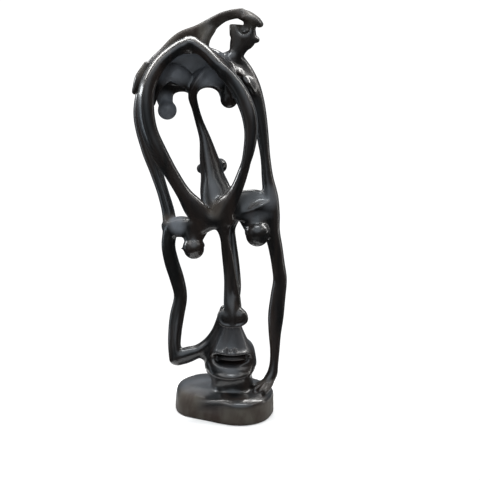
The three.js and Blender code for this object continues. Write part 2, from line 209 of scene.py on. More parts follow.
@dataclass(frozen=True)
class Limb:
    """A carved limb, drawn smoothly through knots of place, half width and half depth.

    Its front is left round, or is cut as two facets that meet in a ridge, or as a flat with
    one bevel on the side of positive across. Its squareness takes it from an oval, at 2,
    towards a block with rounded edges, and its swell does so for the flat beside a bevel.
    """

    knots: Knots
    kind: Section = Section.OVAL
    ridge: float = 0.0
    sharpness: float = 0.5
    square: float = 2.0
    swell: float = 2.8
    sides: int = 32
    step: float = 2.5
    fine: int = 24
    cap_turns: tuple[float, ...] = (80.0, 60.0, 40.0, 20.0)

    def point(self, t: float) -> np.ndarray:
        """Reads the route between two knots on a centripetal Catmull-Rom curve.

        Args:
            t: The place along the knots, from 0 to 1.

        Returns:
            The five values x, y, z, half width and half depth.
        """
        knots = np.array(self.knots, float)
        last = len(knots) - 1
        index = min(int(t * last), last - 1)
        weight = t * last - index
        p1, p2 = knots[index], knots[index + 1]
        p0 = knots[index - 1] if index else 2 * p1 - p2
        p3 = knots[index + 2] if index + 2 <= last else 2 * p2 - p1
        d0, d1, d2 = (
            max(np.linalg.norm(b[:3] - a[:3]) ** 0.5, 1e-4)
            for a, b in ((p0, p1), (p1, p2), (p2, p3))
        )
        m1 = ((p1 - p0) / d0 - (p2 - p0) / (d0 + d1) + (p2 - p1) / d1) * d1
        m2 = ((p2 - p1) / d1 - (p3 - p1) / (d1 + d2) + (p3 - p2) / d2) * d1
        square, cube = weight**2, weight**3
        return (
            (2 * cube - 3 * square + 1) * p1
            + (cube - 2 * square + weight) * m1
            + (3 * square - 2 * cube) * p2
            + (cube - square) * m2
        )

    def stations(self) -> list[np.ndarray]:
        """Reads the route at even steps along its length.

        Returns:
            The five values at each step.
        """
        count = self.fine * (len(self.knots) - 1)
        line = np.array([self.point(i / count) for i in range(count + 1)])
        length = lengths(line[:, :3])
        marks = np.linspace(0, length[-1], max(3, round(length[-1] / self.step) + 1))
        return list(read_off(line, length, marks))

    def section(self, across: float, front: float) -> float:
        """How far the skin stands forward at one point of the section.

        Args:
            across: The place across the limb, from -1 to 1.
            front: The plain oval's value there, positive at the front.

        Returns:
            The value that takes its place.
        """
        if front < 0 or self.kind is Section.OVAL:
            return front
        outside = across > self.ridge
        reach = abs(across - self.ridge) / (1 - self.ridge if outside else 1 + self.ridge)
        flat = 1 - min(reach, 1.0)
        if self.kind is Section.BEVELLED and not outside:
            flat = (1 - min(reach, 1.0) ** self.swell) ** (1 / self.swell)
        return front + self.sharpness * (flat - front)

    def ring(
        self, mesh: BMesh, place: np.ndarray, along: Vector, reach: float, shrink: float
    ) -> list[BMVert]:
        """One ring of the skin.

        Args:
            mesh: The mesh that takes it.
            place: The five values of the route there.
            along: The route's direction there.
            reach: How far past the place it lies, in half thicknesses.
            shrink: Its size against the full section.

        Returns:
            Its vertices.
        """
        width, depth = place[3:]
        across = along.cross(Vector((0, 1, 0))).normalized()
        forward = along.cross(across)
        middle = Vector(place[:3]) + along * (reach * min(width, depth))
        verts = bmesh.ops.create_circle(mesh, segments=self.sides, radius=1.0)["verts"]
        power = 2 / self.square
        for vert in verts:
            side = math.copysign(abs(vert.co.x) ** power, vert.co.x)
            front = math.copysign(abs(vert.co.y) ** power, vert.co.y)
            vert.co = (
                middle
                + across * (width * shrink * side)
                + forward * (depth * shrink * self.section(side, front))
            )
        return verts

    def build(self) -> BMesh:
        """Builds the limb with round ends.

        Returns:
            Its closed mesh.
        """
        mesh = bmesh.new()
        places = self.stations()
        directions = [
            Vector(places[min(i + 1, len(places) - 1)][:3] - places[max(i - 1, 0)][:3]).normalized()
            for i in range(len(places))
        ]
        turns = [math.radians(turn) for turn in self.cap_turns]
        plan = [(places[0], directions[0], -math.sin(turn), math.cos(turn)) for turn in turns]
        plan += [(place, along, 0.0, 1.0) for place, along in zip(places, directions)]
        plan += [
            (places[-1], directions[-1], math.sin(turn), math.cos(turn)) for turn in turns[::-1]
        ]
        before = None
        for place, along, reach, shrink in plan:
            ring = edges_of(self.ring(mesh, place, along, reach, shrink))
            if before:
                bmesh.ops.bridge_loops(mesh, edges=before + ring)
            before = ring
        bmesh.ops.holes_fill(mesh, edges=mesh.edges, sides=self.sides)
        return mesh


def built(*limbs: Limb) -> list[BMesh]:
    """The closed meshes of limbs."""
    return [limb.build() for limb in limbs]


# The figure's parts


def opened(mesh: BMesh, point: Point, normal: Point) -> BMesh:
    """Takes away what lies past a plane and closes the cut.

    Args:
        mesh: The closed shape that is cut.
        point: A point of the plane.
        normal: The plane's direction, towards what goes.

    Returns:
        The same mesh.
    """
    bmesh.ops.bisect_plane(
        mesh, geom=[*mesh.verts, *mesh.edges, *mesh.faces], plane_co=point,
        plane_no=normal, clear_outer=True,
    )
    edges = [edge for edge in mesh.edges if edge.is_boundary]
    bmesh.ops.triangle_fill(mesh, edges=edges, use_beauty=True, use_dissolve=False)
    return mesh


def hanging_eye(knots: Knots) -> list[BMesh]:
    """Builds an eye on a stalk.

    Args:
        knots: The stalk's knots, then the ball's place, half width and half depth.

    Returns:
        The closed meshes of the stalk and the ball.
    """
    x, y, z, width, depth = knots[-1]
    return [Limb(knots[:-1]).build(), egg((x, y, z), (width, depth, width))]


class Part:
    """A part of the figure: its big forms, what is cut into them, and what is raised on them."""

    def forms(self) -> list[BMesh]:
        """The closed shapes that make up the blank."""
        return []

    def cuts(self) -> list[BMesh]:
        """The closed shapes that are cut out of the blank."""
        return []

    def raised(self) -> list[BMesh]:
        """The closed shapes that stand on the blank with crisp edges."""
        return []


@dataclass
class Base(Part):
    """The low base that the figure stands on, its top edge well rounded."""

    height: float = 26.0
    top_round: float = 5.3
    facet: float = 4.4
    facet_degrees: float = 64.0
    foot_round: float = 1.0
    steps: int = 72
    side_levels: tuple[float, ...] = (5.0, 9.0, 13.0, 16.5)
    lean: float = 17.0
    lean_towards: float = 216.0
    lean_spread: float = 42.0
    lean_power: float = 4.0
    sag: float = 1.7
    sag_centre: tuple[float, float] = (18.0, -44.0)
    sag_reach: tuple[float, float] = (24.0, 17.0)
    fine: int = 400
    outline: Knots = (
        (49, 4), (47, -14), (39, -32), (26, -42), (11, -43.5), (-2, -39), (-16, -31),
        (-42, -14.5), (-49.5, 4), (-46, 30), (-30, 46), (-8, 48), (18, 40), (40, 25),
    )

    def plan(self) -> list[Vector]:
        """Draws the outline at the underside as a closed smooth curve.

        Returns:
            Evenly spaced points.
        """
        points = [*self.outline[-2:], *self.outline, *self.outline[:2]]
        route = Limb(tuple((x, y, 0, 0, 0) for x, y in points))
        first, span, whole = 2, len(self.outline), len(points) - 1
        turns = [(first + span * i / self.fine) / whole for i in range(self.fine + 1)]
        line = np.array([route.point(turn)[:2] for turn in turns])
        length = lengths(line)
        marks = np.linspace(0, length[-1], self.steps + 1)[:-1]
        return [Vector((x, y, 0)) for x, y in read_off(line, length, marks)]

    def rim(self) -> list[tuple[float, float]]:
        """Draws the rim: round, with a flat facet in the round.

        Returns:
            Its heights and insets.
        """
        tilt = math.radians(self.facet_degrees)
        foot = self.height - self.top_round - self.facet * math.cos(tilt)
        low = [tilt * share for share in (0, 0.25, 0.5, 0.75, 1)]
        high = [tilt + (math.pi / 2 - tilt) * share for share in (0, 0.5, 1)]
        made = []
        for turns, flat in ((low, 0.0), (high, self.facet)):
            for turn in turns:
                height = foot + self.top_round * math.sin(turn) + flat * math.cos(tilt)
                inset = self.top_round * (1 - math.cos(turn)) + flat * math.sin(tilt)
                made.append((height, inset))
        return made

    def forms(self) -> list[BMesh]:
        """Builds the base by extruding its outline upwards.

        Returns:
            Its closed mesh.
        """
        mesh = bmesh.new()
        plan = self.plan()
        verts = [mesh.verts.new(p) for p in plan]
        for i, vert in enumerate(verts):
            mesh.edges.new((vert, verts[(i + 1) % len(verts)]))
        for vert, point in zip(verts, plan):
            vert.co = point * (1 - self.foot_round / point.length)
        levels = [(self.foot_round, 0.0), *((h, 0.0) for h in self.side_levels), *self.rim()]
        edges = edges_of(verts)
        for height, inset in levels:
            made = bmesh.ops.extrude_edge_only(mesh, edges=edges)["geom"]
            fresh = [item for item in made if isinstance(item, BMVert)]
            edges = [item for item in made if isinstance(item, BMEdge)]
            edges = [edge for edge in edges if all(v in fresh for v in edge.verts)]
            for vert in fresh:
                flat = Vector((vert.co.x, vert.co.y, 0)).normalized()
                nearest = min(plan, key=lambda p: (p.normalized() - flat).length)
                whole = inset + self.leaning(nearest) * (height / self.height) ** self.lean_power
                x, y, _ = nearest * (1 - whole / nearest.length)
                vert.co = (x, y, height - self.dip(x, y) * height / self.height)
        bmesh.ops.holes_fill(mesh, edges=mesh.edges, sides=self.steps)
        return [mesh]

    def leaning(self, place: Vector) -> float:
        """How far the side leans inwards at the top, most at the front on the left."""
        turn = math.degrees(math.atan2(place.y, place.x)) % 360
        return self.lean * math.exp(-(((turn - self.lean_towards) / self.lean_spread) ** 2))

    def dip(self, x: float, y: float) -> float:
        """Works out how far the top falls away towards the front.

        Args:
            x: The place along X.
            y: The place along Y.

        Returns:
            The fall at that place.
        """
        away = ((x - self.sag_centre[0]) / self.sag_reach[0]) ** 2
        away += ((y - self.sag_centre[1]) / self.sag_reach[1]) ** 2
        return self.sag * math.exp(-away)


@dataclass
class LowerHead(Part):
    """The lower head: a cone of an upper lip, an open mouth with a tongue, a jaw and a neck."""

    profile: Limb = Limb((
        (7.5, -20, 118, 4, 5), (8, -18, 106, 6, 6), (8, -14.5, 97, 8, 7),
        (8, -13.5, 90.5, 9.8, 8), (8, -12, 82, 13.4, 11.6), (7.6, -10, 74, 18, 17),
        (7.5, -8.5, 68.5, 21.6, 22), (7.2, -5, 62.5, 23.8, 20), (6.5, -3, 56, 25.6, 22),
        (6, -3, 50, 25.6, 24.4), (6.2, -3, 46.5, 24.6, 25.6), (6.6, -3, 43, 22.8, 22),
        (7.4, -3, 37, 20.4, 19.6), (8, -3, 31, 20.6, 20.2), (8, -3, 24, 21, 21),
    ), sides=48)
    mouth_centre: Point = (6.8, -24, 61.2)
    mouth_half: Point = (21.5, 16, 6.9)
    upper_lip: Limb = Limb((
        (-13.5, -4, 68.2, 1, 1), (-10.5, -16, 68.3, 1.2, 1.6), (-1.5, -26, 68.5, 1.2, 1.8),
        (7.5, -29.4, 68.6, 1.2, 2), (17, -26.4, 68.5, 1.2, 1.8), (24.5, -16.5, 68.3, 1.2, 1.6),
        (28, -4, 68, 1, 1),
    ), Section.RIDGED)
    lower_lip: Limb = Limb((
        (-16.5, -6, 47.4, 1.2, 1.6), (-11.5, -17.5, 46.2, 2.4, 2.8), (-3.5, -25.2, 45.4, 3, 3.8),
        (6.5, -27.8, 45, 3.2, 4.2), (16.5, -25.2, 45.4, 3, 3.8), (24.5, -17.5, 46.2, 2.4, 2.8),
        (29, -6, 47.4, 1.2, 1.6),
    ), Section.BEVELLED, ridge=0.1, sharpness=0.9)
    tongue: Limb = Limb((
        (-8, -12, 60.2, 1.8, 2), (0, -17, 60.6, 1.9, 2.4), (8, -19, 60.8, 1.9, 2.6),
        (16, -17, 60.6, 1.9, 2.4), (23, -12, 60.2, 1.8, 2),
    ), square=3.0)
    teeth: tuple[Point, ...] = ((2.4, -28.8, 73.2), (9.9, -28.8, 73.2))
    tooth: tuple[float, float, float] = (4.2, 0.4, 7.0)
    tooth_lean: float = 33.0

    def forms(self) -> list[BMesh]:
        """Builds the head and cuts its mouth open.

        Returns:
            Its closed mesh.
        """
        head = self.profile.build()
        cut(head, egg(self.mouth_centre, self.mouth_half))
        return [head]

    def raised(self) -> list[BMesh]:
        """Builds the lips, the tongue and two small points over the lip.

        Returns:
            Their closed meshes.
        """
        made = built(self.upper_lip, self.lower_lip, self.tongue)
        foot, tip, height = self.tooth
        lean = Matrix.Rotation(math.radians(self.tooth_lean), 3, "X")
        lean = lean @ Matrix.Rotation(math.pi, 3, "Z")
        for place in self.teeth:
            tooth = bmesh.new()
            bmesh.ops.create_cone(
                tooth, cap_ends=True, segments=3, radius1=foot, radius2=tip, depth=height
            )
            bmesh.ops.rotate(tooth, matrix=lean, verts=tooth.verts)
            bmesh.ops.translate(tooth, vec=place, verts=tooth.verts)
            made.append(tooth)
        return made


@dataclass
class NoseTip(Part):
    """The heart-shaped end of the long nose: a dished leaf with a raised rim."""

    wings: Knots = (
        (2.8, -26.5, 104.8, 8, 6.2, 9), (15, -26.5, 106, 7.8, 6.2, 8),
        (8, -27, 103.4, 8.6, 5.6, 5.6),
    )
    rim: Limb = Limb((
        (2, -24, 115, 1.5, 2.6), (-3.2, -27, 110.8, 1.6, 3), (-5, -28.5, 104.6, 1.6, 3.4),
        (-1.6, -30.2, 99.4, 1.6, 3.2), (6.8, -31, 97.6, 1.7, 3.2), (15.4, -30.2, 98.4, 1.6, 3.2),
        (21.4, -28.5, 102.2, 1.5, 3.2), (21.2, -27, 108, 1.4, 2.8), (16.4, -24, 113, 1.4, 2.4),
    ), Section.RIDGED, step=1.5)
    strap: Limb = Limb((
        (7.6, -22, 124, 5.5, 5.5), (8.1, -25.5, 112, 6, 6.6), (8.2, -28.8, 104.5, 4.6, 5),
        (8, -30.5, 98.5, 3.2, 3),
    ), square=2.3)
    groove: Limb = Limb((
        (7.8, -35, 110.5, 0.4, 1), (8, -35, 105.5, 0.9, 1.8), (8, -34.4, 100.5, 0.9, 1.8),
    ), step=1.0)

    def forms(self) -> list[BMesh]:
        """The leaf as closed eggs, and the strap that runs down its middle."""
        return [*eggs(self.wings), *built(self.strap)]

    def cuts(self) -> list[BMesh]:
        """The groove at the end of the strap."""
        return built(self.groove)

    def raised(self) -> list[BMesh]:
        """The leaf's rim."""
        return built(self.rim)


@dataclass
class Bud(Part):
    """The bud on the shoulder: a stem that flares into a cup with a slanted, flat top."""

    cup: Limb = Limb((
        (11.6, 8, 352, 5.4, 4.8), (13.2, 8, 360, 7.6, 6.2), (15.2, 8, 366, 9.8, 7),
        (18.2, 8, 371.5, 12.4, 7.8), (18.2, 8, 378, 12.6, 7.8), (18, 8, 390, 12.5, 7.6),
    ), Section.RIDGED, ridge=-0.5, sharpness=0.8)
    petal: Limb = Limb(
        ((19, 7, 372.5, 8, 6.4), (26, 7, 372, 6, 5.6), (31.5, 7, 370.8, 2.8, 3.6)), Section.RIDGED
    )
    rims: tuple[tuple[Point, Point], ...] = (
        ((5.4, 8, 385.4), (0.03, 0.1, 1)), ((5.4, 3, 385), (0.29, -0.49, 0.82))
    )
    hollow: tuple[Point, Point] = ((18.5, 1.5, 384), (8.5, 6, 8))

    def forms(self) -> list[BMesh]:
        """Builds the bud, its top cut off, and the pointed petal at its side.

        Returns:
            Their closed meshes.
        """
        cup = self.cup.build()
        for place, normal in self.rims:
            opened(cup, place, normal)
        return [cup, self.petal.build()]

    def cuts(self) -> list[BMesh]:
        """The hollow of the cup."""
        return [egg(*self.hollow)]


@dataclass
class UpperFace(Part):
    """The face in the loop: a hood with two arched sockets, hanging eyes and a long nose."""

    hood_centre: Point = (-30.5, -8, 317)
    hood_half: Point = (46.5, 34, 50)
    hood_wall: float = 6.0
    hood_front: float = -17.0
    arches: Knots = ((-41.5, 9, 321), (-15, 12.5, 325.5))
    arch_back: float = 40.0
    arch_depth: float = 50.0
    nose: Limb = Limb((
        (-12, 4, 348, 3, 4.5), (-20, -1, 338, 3.4, 5), (-27.5, -2, 327.5, 3.8, 5),
        (-30, 2, 317.5, 4.2, 4.8), (-27.6, 7, 305.5, 3.5, 4.6), (-24.2, 9, 293, 3.8, 4.9),
        (-18.5, 7, 276, 5.5, 5.8), (-15, 4, 259, 8.8, 7.8), (-11.5, 0, 242, 11.2, 9.7),
        (-8.5, -6, 228, 14.8, 10.7), (-6, -13, 216, 15.5, 9),
    ), Section.RIDGED, ridge=-0.3, sharpness=0.7)
    eyes: tuple[Knots, ...] = (
        ((-60, 22, 334, 12, 6), (-59, 20, 322, 9.4, 6), (-57.4, 15, 312, 7.6, 6),
         (-55.1, 11, 303.3, 9, 8.6)),
        ((2.5, 16, 333, 9.5, 7), (4.6, 13, 322, 8.6, 8), (5, 12, 314.5, 8.3, 8),
         (5, 11, 313.8, 8.3, 8)),
    )
    forehead: Knots = ((-28, 12, 345, 36, 7, 20),)
    nostrils: Knots = ((-22, 8, 246.5, 4.6, 5, 4.6), (-4.5, 10, 249, 7.2, 6, 7.2))
    brows: tuple[Knots, ...] = (
        ((-69, 2, 311, 3, 3), (-65.5, 2, 323, 4, 3.6), (-58.5, 1, 335, 6.4, 5.4),
         (-50.5, 1, 340.6, 8.2, 6), (-42.5, 1.5, 337.8, 8.4, 6), (-36, 2.5, 332.6, 7.6, 5.6),
         (-30, 4, 326, 5.2, 5)),
        ((-32, 4, 325, 5, 5), (-24, 3, 333, 7.6, 6), (-14.5, 3, 336.2, 8.6, 6.4),
         (-6, 5, 333.5, 7.4, 6), (-0.5, 9, 326, 4.6, 4.6)),
    )

    def hood(self) -> BMesh:
        """Builds the shell from two eggs and cuts it open.

        Returns:
            Its closed mesh.
        """
        mesh = egg(self.hood_centre, self.hood_half)
        cut(mesh, egg(self.hood_centre, tuple(h - self.hood_wall for h in self.hood_half)))
        opened(mesh, (0, self.hood_front, 0), (0, -1, 0))
        opened(mesh, self.hood_centre, (0, 0, -1))
        for middle, half, top in self.arches:
            low = self.hood_centre[2]
            cut(mesh, egg((middle, self.arch_back, low), (half, self.arch_depth, top - low)))
        return mesh

    def forms(self) -> list[BMesh]:
        """Builds the hood, the nose, the eyes, the nostrils and the forehead.

        Returns:
            Their closed meshes.
        """
        made = [self.hood(), self.nose.build()]
        for knots in self.eyes:
            made += hanging_eye(knots)
        return made + eggs((*self.nostrils, *self.forehead))

    def raised(self) -> list[BMesh]:
        """The brows over the sockets, their upper faces cut flat."""
        limbs = (Limb(knots, Section.BEVELLED, ridge=-0.6, sharpness=0.9) for knots in self.brows)
        return built(*limbs)


@dataclass
class LowerBrow(Part):
    """The brow of the lower head, with two lidded eyes that hang from it."""

    left: Limb = Limb((
        (-56, -5, 191, 6, 5), (-50, -9.5, 191.3, 9, 7), (-42, -13.5, 192.8, 10, 7.8),
        (-33, -17, 193, 9.6, 8), (-22, -20, 196, 9.2, 8), (-11, -22, 200, 8, 8),
        (2.5, -22, 203, 9, 8),
    ), Section.BEVELLED, ridge=0.75, sharpness=0.7)
    right: Limb = Limb((
        (3, -10, 213, 9, 6), (11, -6, 213, 13, 7.2), (22, -1.5, 211.8, 15, 8),
        (33.5, 1, 211.3, 15, 8.6), (44.5, 2, 211.5, 10.8, 7.8),
    ), Section.BEVELLED, ridge=-0.2, sharpness=0.7)
    eyes: tuple[Knots, ...] = (
        ((-28, -17, 194, 14.5, 8), (-29.5, -19, 182, 9.2, 7.8), (-29, -21, 172.5, 9.8, 8.9)),
        ((28, -2, 201, 14, 8.8), (31, -5, 191, 11.4, 8.8), (32.5, -8, 183.5, 11.2, 10)),
    )
    lids: tuple[tuple[Point, Point, Point], ...] = (
        ((-29, -21.4, 174), (10.6, 9.7, 9.6), (0.2, 0.3, -1)),
        ((32.4, -8.4, 186.5), (12, 10.9, 10.2), (0.14, 0.28, -1)),
    )
    lid_drop: float = 0.5
    lid_points: tuple[Knots, ...] = (
        ((-33, -23, 174.5, 3, 3), (-38.5, -21.5, 173, 1.4, 1.4), (-41, -20.5, 172.3, 0.5, 0.5)),
        ((38, -13, 186.8, 3, 3), (42.5, -11.4, 187.6, 1.6, 1.6), (45, -10, 188.4, 0.6, 0.6)),
    )
    folds: tuple[Knots, ...] = (
        ((12, -8, 203, 2, 3.2), (22, -7.4, 207.2, 3.5, 5.9), (30, -6.4, 210.6, 3.7, 6.2),
         (38, -5.4, 213.8, 3.3, 5.5), (43, -5, 216, 1.6, 2.6)),
        ((8, -15, 202.5, 1.4, 2), (14, -11.5, 200.6, 2, 3), (25, -6.6, 200, 2.6, 3.4),
         (36, -4, 202, 2.6, 3.2), (46, -3.5, 205.5, 1.6, 3)),
    )

    def forms(self) -> list[BMesh]:
        """Builds the brow with its folds, the stalks and the eyeballs.

        Returns:
            Their closed meshes.
        """
        folds = (Limb(knots, Section.BEVELLED, ridge=0.0, sharpness=0.9) for knots in self.folds)
        made = built(self.left, self.right, *folds)
        for knots in self.eyes:
            made += hanging_eye(knots)
        return made

    def raised(self) -> list[BMesh]:
        """Builds the lids, each a cap over its ball that ends in a point.

        Returns:
            Their closed meshes.
        """
        made = built(*(Limb(knots, step=1.5) for knots in self.lid_points))
        for (x, y, z), half, normal in self.lids:
            made.append(opened(egg((x, y, z), half), (x, y, z - self.lid_drop), normal))
        return made


@dataclass
class Loop(Part):
    """The tall loop round the upper face and the long nose that hangs from it."""

    loop: Limb = Limb((
        (-17.5, -24, 201.5, 8.5, 6.7), (-27, -24, 211.5, 10.4, 7.7), (-38, -25, 227, 7, 7.6),
        (-48.5, -26, 244.5, 6.5, 7.1), (-61.5, -27, 267.5, 7.8, 7.6),
        (-70, -26, 287.5, 7.8, 7.5), (-73.5, -24, 310, 8, 7.5), (-71, -21, 330, 7.5, 7.5),
        (-60, -18, 349.5, 6.9, 7), (-46, -16, 361.8, 6.2, 6.6), (-37, -15.2, 366.8, 6.1, 6.6),
        (-31, -15, 369.4, 6, 6.6), (-25, -15.3, 366, 6, 6.6), (-16, -16, 359.4, 6, 6.6),
        (-4.4, -18, 347, 5.6, 6.2), (4, -18.8, 338.2, 4, 4.5),
    ), Section.BEVELLED, ridge=0.24, sharpness=0.9)
    right: Limb = Limb((
        (-7.5, -17.7, 350.2, 4.2, 5), (-1, -18.3, 343.4, 6.2, 6.8), (7.4, -19, 334.6, 6.6, 6.7),
        (15, -21, 324, 7.2, 6.8), (20.5, -23, 313, 7.3, 6.8), (24.5, -25, 301, 7.1, 6.7),
        (26, -26, 286, 6.2, 6.5), (24, -27, 268.5, 5.2, 6.2), (20.4, -27, 254, 4, 5),
    ), Section.BEVELLED, ridge=0.75, sharpness=0.8)
    foot: Limb = Limb((
        (23, -27, 263, 4, 3.8), (19, -27, 249.5, 4.9, 4.6), (12.5, -27.4, 232, 5.8, 5.4),
        (5.4, -26.6, 217.5, 7.4, 6.9), (0, -25.6, 207, 7, 6.5), (-2, -23, 200, 4, 4),
    ), Section.RIDGED, ridge=-0.35, sharpness=0.9)
    ledge: Limb = Limb((
        (-13, -21, 205.5, 2.4, 3), (-7.5, -23, 210.5, 4.4, 5), (-1.5, -23.6, 217, 5, 5.6),
        (4, -23, 224, 4.4, 5), (8.6, -22.4, 232, 2.8, 3.2),
    ))
    nose: Limb = Limb((
        (4, -23, 211, 4, 4.6), (2.2, -24, 203.5, 6.6, 6.6),
        (-0.3, -23, 195, 6.9, 6.4), (0.4, -22, 188, 5, 5.4), (1.2, -21, 181, 4.2, 5),
        (1.5, -20, 174.5, 4, 4.9), (4, -19, 157, 4.9, 5.3), (6.5, -20, 140.5, 6.2, 5.8),
        (7.5, -22, 123, 7.6, 6.8), (8, -24, 115, 8, 7),
    ), Section.BEVELLED, ridge=-0.55, sharpness=0.8)
    nose_edge: Limb = Limb((
        (5, -22, 198, 2, 2.6), (1.6, -22.6, 189.5, 2.4, 3.2), (3.2, -22.2, 179, 2.4, 3.2),
        (5.2, -22, 171.5, 2.4, 3.2), (7.7, -22, 157, 2.5, 3.3), (10.2, -22.6, 142, 2.6, 3.4),
        (12.6, -23.6, 129.7, 2.5, 3.3), (14.9, -24.6, 116, 2, 2.6),
    ), Section.BEVELLED, ridge=-0.2, sharpness=0.8)
    nose_back: Limb = Limb((
        (12, 4, 199.5, 3.9, 4.9), (8, 8, 186.5, 2.8, 4), (8.5, 6, 175, 3.2, 4),
        (9.5, 2, 161.5, 4.2, 4), (11, -4, 146.5, 4.5, 4), (12, -11, 131.5, 4.4, 4.2),
        (10, -18, 116, 4.3, 4.5),
    ), square=2.4)

    def forms(self) -> list[BMesh]:
        """The loop, the ledge in its foot and the two strands of the nose."""
        return built(self.loop, self.right, self.ledge, self.foot, self.nose, self.nose_back)

    def raised(self) -> list[BMesh]:
        """The crisp right edge of the long nose."""
        return built(self.nose_edge)


@dataclass
class Arms(Part):
    """The two long arms and their hands, the shoulder, the cheek and the ear by the loop."""

    upper_arm: Limb = Limb((
        (17, 6, 396, 4.4, 4.9), (7, 10, 394.4, 4.5, 5.2), (-1, 14, 391.8, 4.8, 5.8),
        (-10.5, 18, 386, 6, 6.8), (-24.5, 20, 375.2, 9.2, 9.2), (-40, 20, 368.6, 9.6, 9.5),
        (-55, 18, 355.6, 8.8, 8.7), (-69.6, 16, 342.2, 7.4, 7.8), (-76, 13.6, 329, 5, 5.4),
    ), Section.BEVELLED, ridge=-0.75, sharpness=0.7)
    back_arm: Limb = Limb((
        (-58, 17.6, 353, 6, 6), (-69.6, 16, 342.2, 7.2, 7.4), (-78, 13, 322, 6.6, 6.8),
        (-81, 11, 298, 7, 7),
        (-74, 8, 266, 6.8, 6.6), (-66, 5, 243, 6, 6.3), (-59, 0, 222, 5.5, 6.3),
        (-54, -4, 203, 6.2, 6.8), (-53, -7, 188, 6.8, 7.8), (-54.5, -7, 172, 6.6, 6.9),
        (-51.5, -5, 155, 7, 6.9), (-47, -3, 139, 7, 6.9), (-43.5, -1, 120, 6.4, 6.5),
        (-47, -3, 101, 7, 6.5), (-49, -7, 86, 6.6, 6.5), (-49.5, -11, 71, 6.2, 6.5),
        (-47.5, -13, 59, 7.2, 6.5),
    ), Section.RIDGED, ridge=0.3, sharpness=0.5)
    cheek_forearm: Limb = Limb((
        (-46.5, -13, 59.5, 7.5, 6.5), (-37, -12, 62.5, 8, 6), (-26, -10, 66, 6.5, 5.5),
        (-16, -8, 73.5, 5.5, 5.5), (-8.5, -8, 85, 4.5, 5), (-3.5, -10, 99.5, 3.8, 4.5),
        (-0.5, -13, 110, 3.4, 4),
    ), Section.RIDGED, ridge=0.3, sharpness=0.4)
    armpit: Limb = Limb(((-12, 16, 381, 4.5, 5), (-17.5, 14, 373, 5, 6), (-21, 12, 364, 6, 7)))
    cheek: Limb = Limb(((-29, -10, 64.5, 4, 4), (-20, -7, 62, 5.5, 6), (-13, -4, 56, 6, 7)))
    resting_arm: Limb = Limb((
        (0, 6, 353, 5, 6), (9, 9, 355, 6, 6.5), (18.5, 13, 343, 7.6, 7.7),
        (26, 14, 328, 8.3, 8.2), (31, 13, 312, 8, 7.8), (35, 11, 295, 6.8, 6.8),
        (38, 9, 276, 5.6, 6.3), (40.5, 7, 257, 4.7, 5.9), (42.5, 5, 238, 5.6, 6.4),
        (45.5, 3, 219.5, 7.4, 7.8), (46.5, 2, 202, 8.1, 8.8), (47, 2, 186, 7.7, 7.9),
        (50.5, 3, 169.5, 6.9, 6.9), (53.5, 5, 151, 6.5, 6.5), (55.5, 7, 135, 6.8, 6.5),
        (53.5, 6, 117, 7.4, 6.5), (51.5, 4, 98, 7.7, 6.5), (50.5, 1, 80, 6, 5.5),
        (50.5, -2, 64, 4.6, 4.5), (49.5, -4, 50, 4.3, 4.5), (47.5, -6, 40, 5.2, 5.2),
        (43, -9, 33, 5.5, 5.5),
    ), Section.RIDGED, ridge=-0.3, sharpness=0.4)
    shoulder: Limb = Limb((
        (-4, 4, 357, 2, 2.8), (2.4, 2, 351.2, 3.5, 5), (7.4, 3.4, 346.6, 2.4, 3.4),
        (13.4, 2.4, 341, 3.7, 5.3), (18, 4.2, 336.8, 2.4, 3.4), (23, 4, 330.6, 3.7, 5.3),
        (27.6, 6.6, 324, 3, 4.3), (31, 10, 316, 2, 2.8),
    ), Section.BEVELLED, ridge=0.05, sharpness=0.95)
    reaching_hand: Limb = Limb((
        (16, 6, 395, 4.8, 5), (23, 6, 392.5, 5.4, 6.5), (28.5, 5.5, 390, 4.6, 7),
    ))
    palm: Limb = Limb(((25, 6, 390, 6, 5), (25, 6, 384, 5.6, 4.5), (24.5, 6, 376, 5, 4)))
    reaching_fingers: tuple[Knots, ...] = (
        ((22, 0.5, 392, 3.6, 3), (30, -0.5, 388.6, 3.4, 2.8), (34, 0, 384.8, 2.6, 2.2)),
        ((22, 4.5, 393.2, 3.8, 3), (31, 4, 389.4, 3.6, 2.8), (35.4, 4.5, 385, 2.8, 2.2)),
        ((22, 9, 393, 3.6, 3), (30.5, 9, 389.2, 3.4, 2.8), (34.6, 9, 385, 2.6, 2.2)),
        ((19, 0.5, 391, 2.8, 2.6), (20.5, -0.6, 386.5, 2.4, 2.3), (22.5, -0.5, 381.5, 2, 1.8)),
    )
    resting_fingers: tuple[Knots, ...] = (
        ((47.5, -8, 36, 3, 3), (45, -15, 31.5, 2.6, 2.4), (41, -22.5, 27.6, 2, 1.9)),
        ((44, -8.5, 35, 3, 3), (40, -15, 31, 2.6, 2.4), (35.5, -22, 27.8, 2, 1.9)),
        ((42, -7.5, 35, 3, 3), (36, -12.5, 31.2, 2.5, 2.4), (30.5, -17.5, 28, 2, 1.9)),
        ((42, -5, 34, 3, 3), (35, -6.5, 30.5, 2.4, 2.3), (28.5, -8, 28.6, 2, 1.9)),
    )
    ear: Limb = Limb(((-74, 4, 347.5, 3, 3), (-79.5, 4, 334, 6, 4.8), (-85.5, 4, 322, 3, 3)))

    def forms(self) -> list[BMesh]:
        """Builds the arms, the reaching hand, the cheek and the ear.

        Returns:
            Their closed meshes.
        """
        return built(
            self.upper_arm, self.back_arm, self.cheek_forearm, self.armpit, self.shoulder,
            self.cheek, self.resting_arm, self.reaching_hand, self.palm, self.ear,
            *(Limb(knots, step=1.5) for knots in self.reaching_fingers),
        )

    def raised(self) -> list[BMesh]:
        """The fingers of the resting hand."""
        return built(*(Limb(knots, sides=16, step=1.5) for knots in self.resting_fingers))


# Surface work


